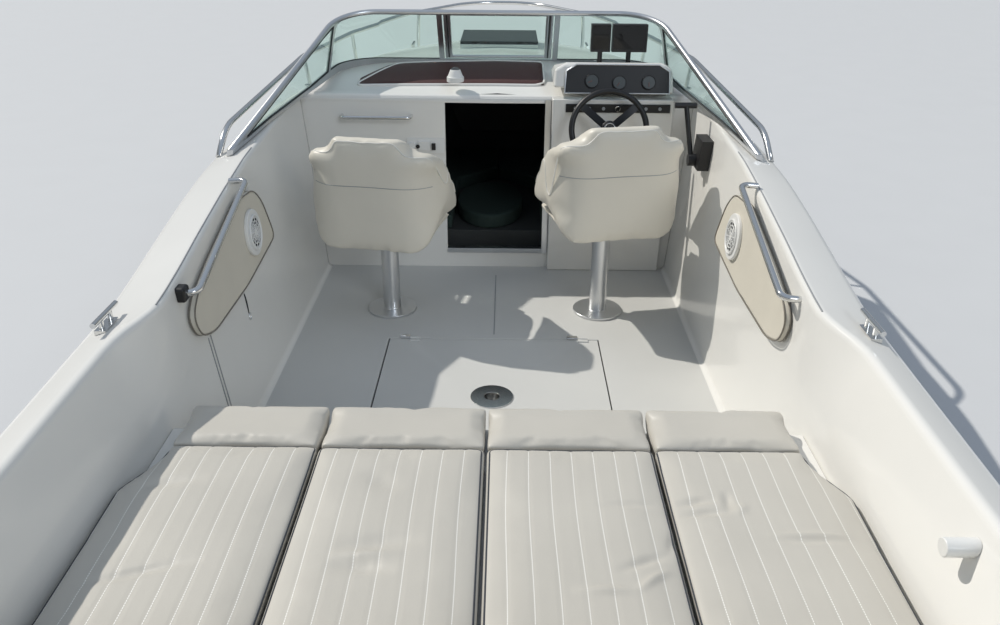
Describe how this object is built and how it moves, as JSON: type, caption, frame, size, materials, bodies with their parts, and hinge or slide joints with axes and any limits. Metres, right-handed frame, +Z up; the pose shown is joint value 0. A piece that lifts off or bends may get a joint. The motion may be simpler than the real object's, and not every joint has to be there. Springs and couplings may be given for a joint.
{
  "type": "open speedboat with a small fore cabin",
  "caption": "Glass-fibre cuddy speedboat with windscreen, helm, swivel bucket seats, aft sun pad, hatches, sliding cabin door and stern drive.",
  "frame": {"origin": "on the waterline, at the middle of the transom", "axes": "+Y to the bow, +X to starboard, +Z up"},
  "size_m": [2.3606, 6.55, 2.0335],
  "materials": {
    "gelcoat_white": "gloss gelcoat",
    "hull_navy": "gloss gelcoat",
    "floor_white": "fine non-slip gelcoat",
    "rub_rail_grey": "satin",
    "stainless": "polished",
    "aluminium": "satin anodised",
    "screen_glass": "green tinted",
    "smoked_acrylic": "smoked",
    "cream_vinyl": "soft marine vinyl",
    "cabin_fabric": "dark cloth",
    "cabin_liner": "painted",
    "tray_carpet": "dark carpet",
    "black_plastic": "satin",
    "white_plastic": "satin",
    "engine_paint": "painted",
    "drive_paint": "satin"
  },
  "bodies": {
    "root": {"benches": "gelcoat_white", "berth_base": "cabin_liner", "berth_cushions": "cabin_fabric", "bow_rail": "stainless", "cabin_bulkhead": "gelcoat_white", "chart_displays": "black_plastic", "cleats": "stainless", "cockpit_aft_wall": "gelcoat_white", "cockpit_floor": "floor_white", "cockpit_sides": "gelcoat_white", "dash_tray": "tray_carpet", "deck": "gelcoat_white", "deck_hatch_frame": "aluminium", "door_track": "aluminium", "engine": "engine_paint", "engine_box_front": "gelcoat_white", "glass_centre": "screen_glass", "glass_corners": "screen_glass", "glass_wings": "screen_glass", "hand_rails": "stainless", "helm_console": "gelcoat_white", "helm_pod": "gelcoat_white", "hinge_leaves": "stainless", "hull": "hull_navy", "instruments": "black_plastic", "mooring_eyes": "stainless", "pocket_panels": "cream_vinyl", "rub_rail": "rub_rail_grey", "seat_pedestals": "stainless", "shower_stub": "gelcoat_white", "speakers": "white_plastic", "sun_pads_outer": "cream_vinyl", "swim_platform": "gelcoat_white", "switches": "black_plastic", "throttle_control": "black_plastic", "transom_shield": "drive_paint", "windscreen_frame": "aluminium"},
    "seat_port": {"seat_port": "cream_vinyl", "seat_cushion_port": "cream_vinyl", "seat_swivel_port": "stainless"},
    "seat_starboard": {"seat_starboard": "cream_vinyl", "seat_cushion_starboard": "cream_vinyl", "seat_swivel_starboard": "stainless"},
    "steering_wheel": {"steering_wheel": "black_plastic"},
    "floor_hatch": {"floor_hatch": "floor_white", "table_socket": "stainless"},
    "engine_lid": {"engine_lid": "gelcoat_white", "sun_pads_centre": "cream_vinyl"},
    "cabin_door": {"cabin_door": "smoked_acrylic"},
    "deck_hatch": {"deck_hatch": "smoked_acrylic"},
    "drive_gimbal": {"gimbal_ring": "drive_paint"},
    "drive": {"drive_leg": "drive_paint"},
    "propeller": {"propeller": "drive_paint"}
  },
  "joints": [
    {"name": "seat_port_swivel", "type": "hinge", "parent": "root", "child": "seat_port", "pos_m": [-0.485, 2.887, 0.42], "axis": [0, 0, 1], "continuous": true},
    {"name": "seat_starboard_swivel", "type": "hinge", "parent": "root", "child": "seat_starboard", "pos_m": [0.485, 2.887, 0.47], "axis": [0, 0, 1], "range_deg": [-65, 30]},
    {"name": "wheel_turn", "type": "hinge", "parent": "root", "child": "steering_wheel", "pos_m": [0.53, 3.23, 0.831], "axis": [0, 0.9397, -0.342], "range_deg": [-540, 540]},
    {"name": "floor_hatch_lift", "type": "hinge", "parent": "root", "child": "floor_hatch", "pos_m": [0, 2.583, 0.055], "axis": [-1, 0, 0], "range_deg": [0, 70]},
    {"name": "engine_lid_lift", "type": "hinge", "parent": "root", "child": "engine_lid", "pos_m": [0, 0.215, 0.402], "axis": [1, 0, 0], "range_deg": [0, 50]},
    {"name": "cabin_door_slide", "type": "slide", "parent": "root", "child": "cabin_door", "axis": [1, 0, 0], "range_m": [0, 0.49]},
    {"name": "deck_hatch_lift", "type": "hinge", "parent": "root", "child": "deck_hatch", "pos_m": [0, 4.793, 1.056], "axis": [-1, 0, 0], "range_deg": [0, 75]},
    {"name": "drive_steer", "type": "hinge", "parent": "root", "child": "drive_gimbal", "pos_m": [0, -0.11, 0.01], "axis": [0, 0, 1], "range_deg": [-27, 27]},
    {"name": "drive_tilt", "type": "hinge", "parent": "drive_gimbal", "child": "drive", "pos_m": [0, -0.11, 0.01], "axis": [-1, 0, 0], "range_deg": [0, 45]},
    {"name": "propeller_spin", "type": "hinge", "parent": "drive", "child": "propeller", "pos_m": [0, -0.648, -0.53], "axis": [0, 1, 0], "continuous": true}
  ],
  "couplings": [
    {"joint": "wheel_turn", "follows": "drive_steer", "ratio": 20}
  ]
}
